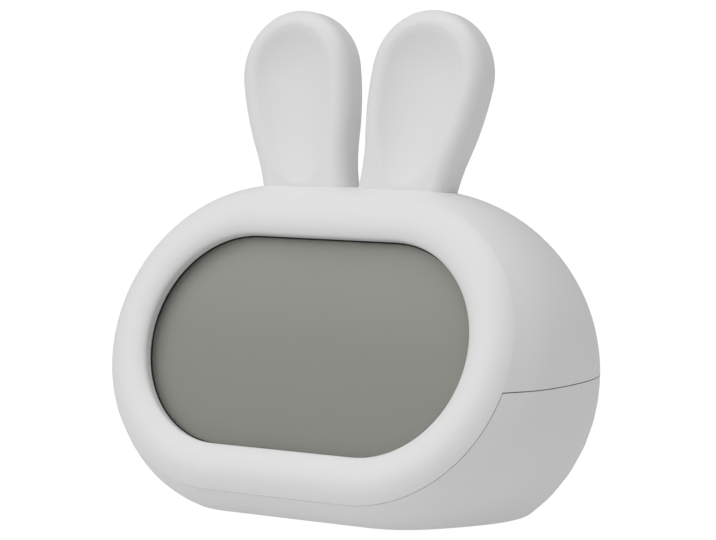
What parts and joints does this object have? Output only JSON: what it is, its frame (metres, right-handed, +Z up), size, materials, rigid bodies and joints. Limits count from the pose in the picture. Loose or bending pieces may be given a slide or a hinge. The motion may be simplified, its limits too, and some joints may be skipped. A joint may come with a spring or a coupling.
{
  "type": "alarm clock with night light",
  "caption": "Rounded bedside alarm clock that leans back, with a recessed grey display, light-up spoon-shaped ears, a top button, rear keys and a battery door.",
  "frame": {"origin": "on the table under the middle of the clock's box", "axes": "+X across the front to the right as seen from the front, +Y to the rear, +Z up"},
  "size_m": [0.1528, 0.0864, 0.1489],
  "materials": {
    "shell_white": "fine satin",
    "key_white": "satin",
    "rubber_grey": "matte",
    "foam_dark": "matte foam",
    "window_clear": "polished clear plastic",
    "lcd_grey": "satin grey-green display",
    "inner_white": "matte",
    "guide_clear": "frosted clear plastic",
    "led_warm": "glossy",
    "board_green": "glossy lacquer",
    "part_black": "matte",
    "screw_steel": "zinc plated",
    "contact_nickel": "nickel plated",
    "cell_jacket": "plain plastic jacket"
  },
  "bodies": {
    "housing": {"upper_shell": "shell_white", "lower_shell": "shell_white", "base_feet": "rubber_grey", "housing_screws": "screw_steel", "battery_cells": "cell_jacket", "battery_springs": "contact_nickel", "contact_plates": "contact_nickel", "window_gasket": "foam_dark", "display_window": "window_clear", "lcd_frame": "inner_white", "lcd_panel": "lcd_grey", "light_guide": "guide_clear", "reflector_sheet": "inner_white", "contact_strips": "rubber_grey", "backlight_leds": "led_warm", "main_board": "board_green", "main_board_parts": "part_black", "display_screws": "screw_steel", "ear_light_board": "board_green", "ear_leds": "led_warm", "light_board_screws": "screw_steel", "snooze_switch": "part_black", "snooze_board": "board_green", "snooze_board_screws": "screw_steel", "key_switches": "part_black", "key_board": "board_green", "key_board_screws": "screw_steel", "speaker": "part_black", "speaker_foam": "foam_dark", "speaker_pad": "rubber_grey", "power_board": "board_green", "power_board_screws": "screw_steel", "usb_socket": "contact_nickel", "alarm_switch_body": "part_black"},
    "battery_door": {"battery_door": "shell_white"},
    "snooze_light_button": {"snooze_light_button": "key_white", "snooze_plunger": "part_black"},
    "alarm_switch_knob": {"alarm_switch_knob": "key_white"},
    "set_key": {"set_key": "key_white", "set_key_plunger": "part_black"},
    "alarm_key": {"alarm_key": "key_white", "alarm_key_plunger": "part_black"},
    "minus_key": {"minus_key": "key_white", "minus_key_plunger": "part_black"},
    "plus_key": {"plus_key": "key_white", "plus_key_plunger": "part_black"}
  },
  "joints": [
    {"name": "battery_door_hinge", "type": "hinge", "parent": "housing", "child": "battery_door", "pos_m": [0, -0.0213, 0.0008], "axis": [-1, 0, 0], "range_deg": [0, 70]},
    {"name": "snooze_light_press", "type": "slide", "parent": "housing", "child": "snooze_light_button", "axis": [0, -0.4767, -0.879], "range_m": [0, 0.0008], "stiffness_N_per_m": 900},
    {"name": "alarm_switch_slide", "type": "slide", "parent": "housing", "child": "alarm_switch_knob", "axis": [1, 0, 0], "range_m": [0, 0.003]},
    {"name": "set_key_press", "type": "slide", "parent": "housing", "child": "set_key", "axis": [0, -1, 0], "range_m": [0, 0.0006], "stiffness_N_per_m": 900},
    {"name": "alarm_key_press", "type": "slide", "parent": "housing", "child": "alarm_key", "axis": [0, -1, 0], "range_m": [0, 0.0006], "stiffness_N_per_m": 900},
    {"name": "minus_key_press", "type": "slide", "parent": "housing", "child": "minus_key", "axis": [0, -1, 0], "range_m": [0, 0.0006], "stiffness_N_per_m": 900},
    {"name": "plus_key_press", "type": "slide", "parent": "housing", "child": "plus_key", "axis": [0, -1, 0], "range_m": [0, 0.0006], "stiffness_N_per_m": 900}
  ]
}
